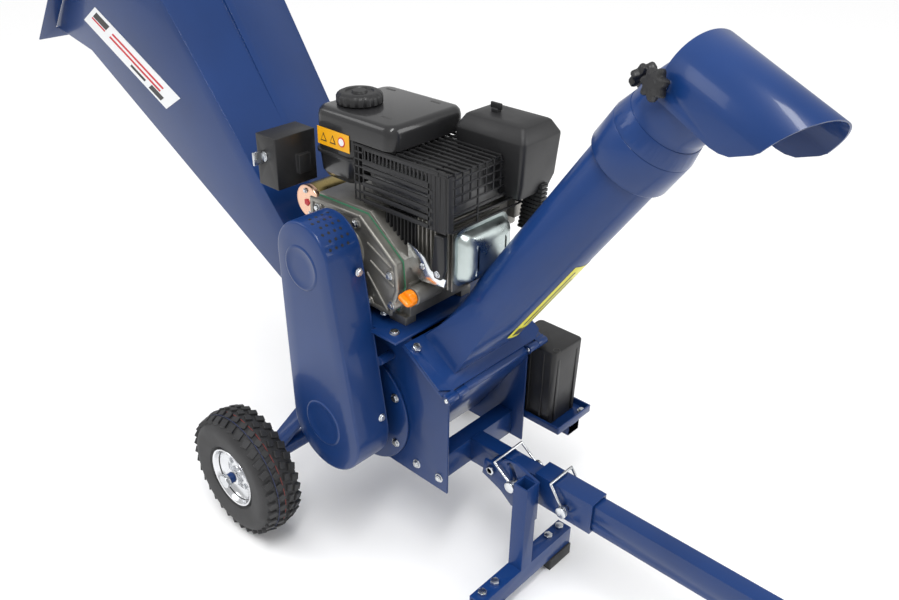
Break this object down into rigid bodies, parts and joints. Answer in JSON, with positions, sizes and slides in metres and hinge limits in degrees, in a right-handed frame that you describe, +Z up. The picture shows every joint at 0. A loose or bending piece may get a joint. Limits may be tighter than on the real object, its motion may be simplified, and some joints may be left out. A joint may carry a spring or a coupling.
{
  "type": "wood chipper",
  "caption": "Towable petrol wood chipper: feed hopper, belt-driven knife rotor, swivelling discharge chute with tilting hood, two wheels, folding stand and tow bar.",
  "frame": {"origin": "on the ground, at the centre of the whole bounding box in X and Y", "axes": "+X forward along the tow bar, +Y to the left, away from the belt guard, +Z up"},
  "size_m": [1.925, 0.654, 1.1152],
  "materials": {
    "blue_paint": "gloss powder coat",
    "black_paint": "satin black paint",
    "black_plastic": "textured black plastic",
    "grey_aluminium": "cast, slightly rough",
    "zinc": "bright zinc plate",
    "dark_steel": "machined dark steel",
    "silver_paint": "silver paint",
    "tyre_rubber": "knobby rubber",
    "black_rubber": "moulded rubber",
    "belt_rubber": "fabric-faced belt",
    "orange_plastic": "glossy orange plastic",
    "brass_zinc": "yellow zinc",
    "grey_plastic": "moulded plastic"
  },
  "bodies": {
    "chassis": {"side_plate_left": "blue_paint", "side_plate_right": "blue_paint", "housing_shell": "blue_paint", "outlet_flange": "blue_paint", "bearing_covers": "blue_paint", "belt_guard": "blue_paint", "belt_guard_backplate": "blue_paint", "engine_plate": "blue_paint", "chassis_beam": "blue_paint", "axle_beam": "blue_paint", "drawbar_sleeve": "blue_paint", "tow_bar": "blue_paint", "hopper_body": "blue_paint", "hopper_lip": "blue_paint", "battery_tray": "blue_paint", "counter_knife": "zinc", "lock_pins": "zinc", "frame_bolts": "zinc", "drive_belts": "belt_rubber", "air_cleaner": "black_plastic", "key_box": "black_plastic", "battery_box": "black_plastic", "engine_crankcase": "grey_aluminium", "crankcase_cover": "grey_aluminium", "cylinder_head": "grey_aluminium", "rotor_bearings": "grey_aluminium", "carburettor": "grey_aluminium", "valve_cover": "silver_paint", "fan_housing": "black_paint", "muffler_guard": "black_paint", "fuel_tank": "black_paint", "muffler": "black_paint", "starter_motor": "brass_zinc", "battery": "grey_plastic"},
    "rotor": {"rotor_shaft": "zinc", "rotor_drum": "dark_steel", "rotor_knives": "zinc", "driven_pulley": "dark_steel"},
    "crank": {"crankshaft": "zinc", "clutch_pulley": "dark_steel"},
    "stand": {"stand_leg": "blue_paint", "rubber_feet": "black_rubber", "foot_bolts": "zinc"},
    "leg_bail": {"leg_pin_bail": "zinc"},
    "drawbar_bail": {"drawbar_pin_bail": "zinc"},
    "wheel_right": {"rim_right": "zinc", "tyre_right": "tyre_rubber"},
    "wheel_left": {"rim_left": "zinc", "tyre_left": "tyre_rubber"},
    "chute": {"chute_base": "blue_paint", "chute_clamp_bolts": "zinc", "swivel_collar": "blue_paint"},
    "head": {"chute_head": "blue_paint"},
    "hood": {"deflector_hood": "blue_paint"},
    "collar_screw": {"collar_knob": "black_plastic"},
    "hood_screw": {"hood_knob": "black_plastic"},
    "recoil_grip": {"recoil_handle": "black_plastic"},
    "filler_cap": {"fuel_cap": "black_plastic"},
    "dipstick": {"oil_dipstick": "orange_plastic"},
    "key": {"ignition_key": "zinc"}
  },
  "joints": [
    {"name": "wheel_right_spin", "type": "hinge", "parent": "chassis", "child": "wheel_right", "pos_m": [-0.181, -0.276, 0.125], "axis": [0, 1, 0], "continuous": true},
    {"name": "wheel_left_spin", "type": "hinge", "parent": "chassis", "child": "wheel_left", "pos_m": [-0.181, 0.276, 0.125], "axis": [0, 1, 0], "continuous": true},
    {"name": "rotor_spin", "type": "hinge", "parent": "chassis", "child": "rotor", "pos_m": [-0.037, 0, 0.266], "axis": [0, 1, 0], "continuous": true},
    {"name": "crank_spin", "type": "hinge", "parent": "chassis", "child": "crank", "pos_m": [-0.057, 0, 0.568], "axis": [0, 1, 0], "continuous": true},
    {"name": "stand_fold", "type": "hinge", "parent": "chassis", "child": "stand", "pos_m": [0.208, -0.038, 0.21], "axis": [0, 1, 0], "range_deg": [0, 40.5]},
    {"name": "leg_bail_swing", "type": "hinge", "parent": "chassis", "child": "leg_bail", "pos_m": [0.257, -0.0455, 0.207], "axis": [0, 1, 0], "range_deg": [-6, 75]},
    {"name": "drawbar_bail_swing", "type": "hinge", "parent": "chassis", "child": "drawbar_bail", "pos_m": [0.35, -0.029, 0.2], "axis": [0, 1, 0], "range_deg": [-3, 68]},
    {"name": "chute_open", "type": "hinge", "parent": "chassis", "child": "chute", "pos_m": [0.17964, 0, 0.38418], "axis": [0, 1, 0], "range_deg": [0, 60]},
    {"name": "chute_swivel", "type": "hinge", "parent": "chute", "child": "head", "pos_m": [0.40898, 0, 0.84501], "axis": [0.5627, 0, 0.8267], "continuous": true},
    {"name": "hood_tilt", "type": "hinge", "parent": "head", "child": "hood", "pos_m": [0.45265, 0, 0.90916], "axis": [0.2732, 0.9438, -0.186], "range_deg": [-35, 30]},
    {"name": "collar_knob_turn", "type": "hinge", "parent": "head", "child": "collar_screw", "pos_m": [0.37567, 0.01983, 0.89672], "axis": [-0.7802, 0.3305, 0.531], "continuous": true},
    {"name": "hood_knob_turn", "type": "hinge", "parent": "hood", "child": "hood_screw", "pos_m": [0.43625, -0.05663, 0.92032], "axis": [-0.2732, -0.9438, 0.186], "continuous": true},
    {"name": "recoil_pull", "type": "slide", "parent": "chassis", "child": "recoil_grip", "axis": [0, 1, 0], "range_m": [0, 0.05], "stiffness_N_per_m": 60},
    {"name": "fuel_cap_turn", "type": "hinge", "parent": "chassis", "child": "filler_cap", "pos_m": [-0.104, -0.031, 0.79], "axis": [0, 0, 1], "continuous": true},
    {"name": "dipstick_turn", "type": "hinge", "parent": "chassis", "child": "dipstick", "pos_m": [0.08, -0.11, 0.522], "axis": [0, 1, 0], "continuous": true},
    {"name": "key_turn", "type": "hinge", "parent": "chassis", "child": "key", "pos_m": [-0.196, -0.165, 0.7], "axis": [0, -1, 0], "range_deg": [0, 60]}
  ],
  "couplings": [
    {"joint": "crank_spin", "follows": "rotor_spin", "ratio": 1.4783}
  ]
}
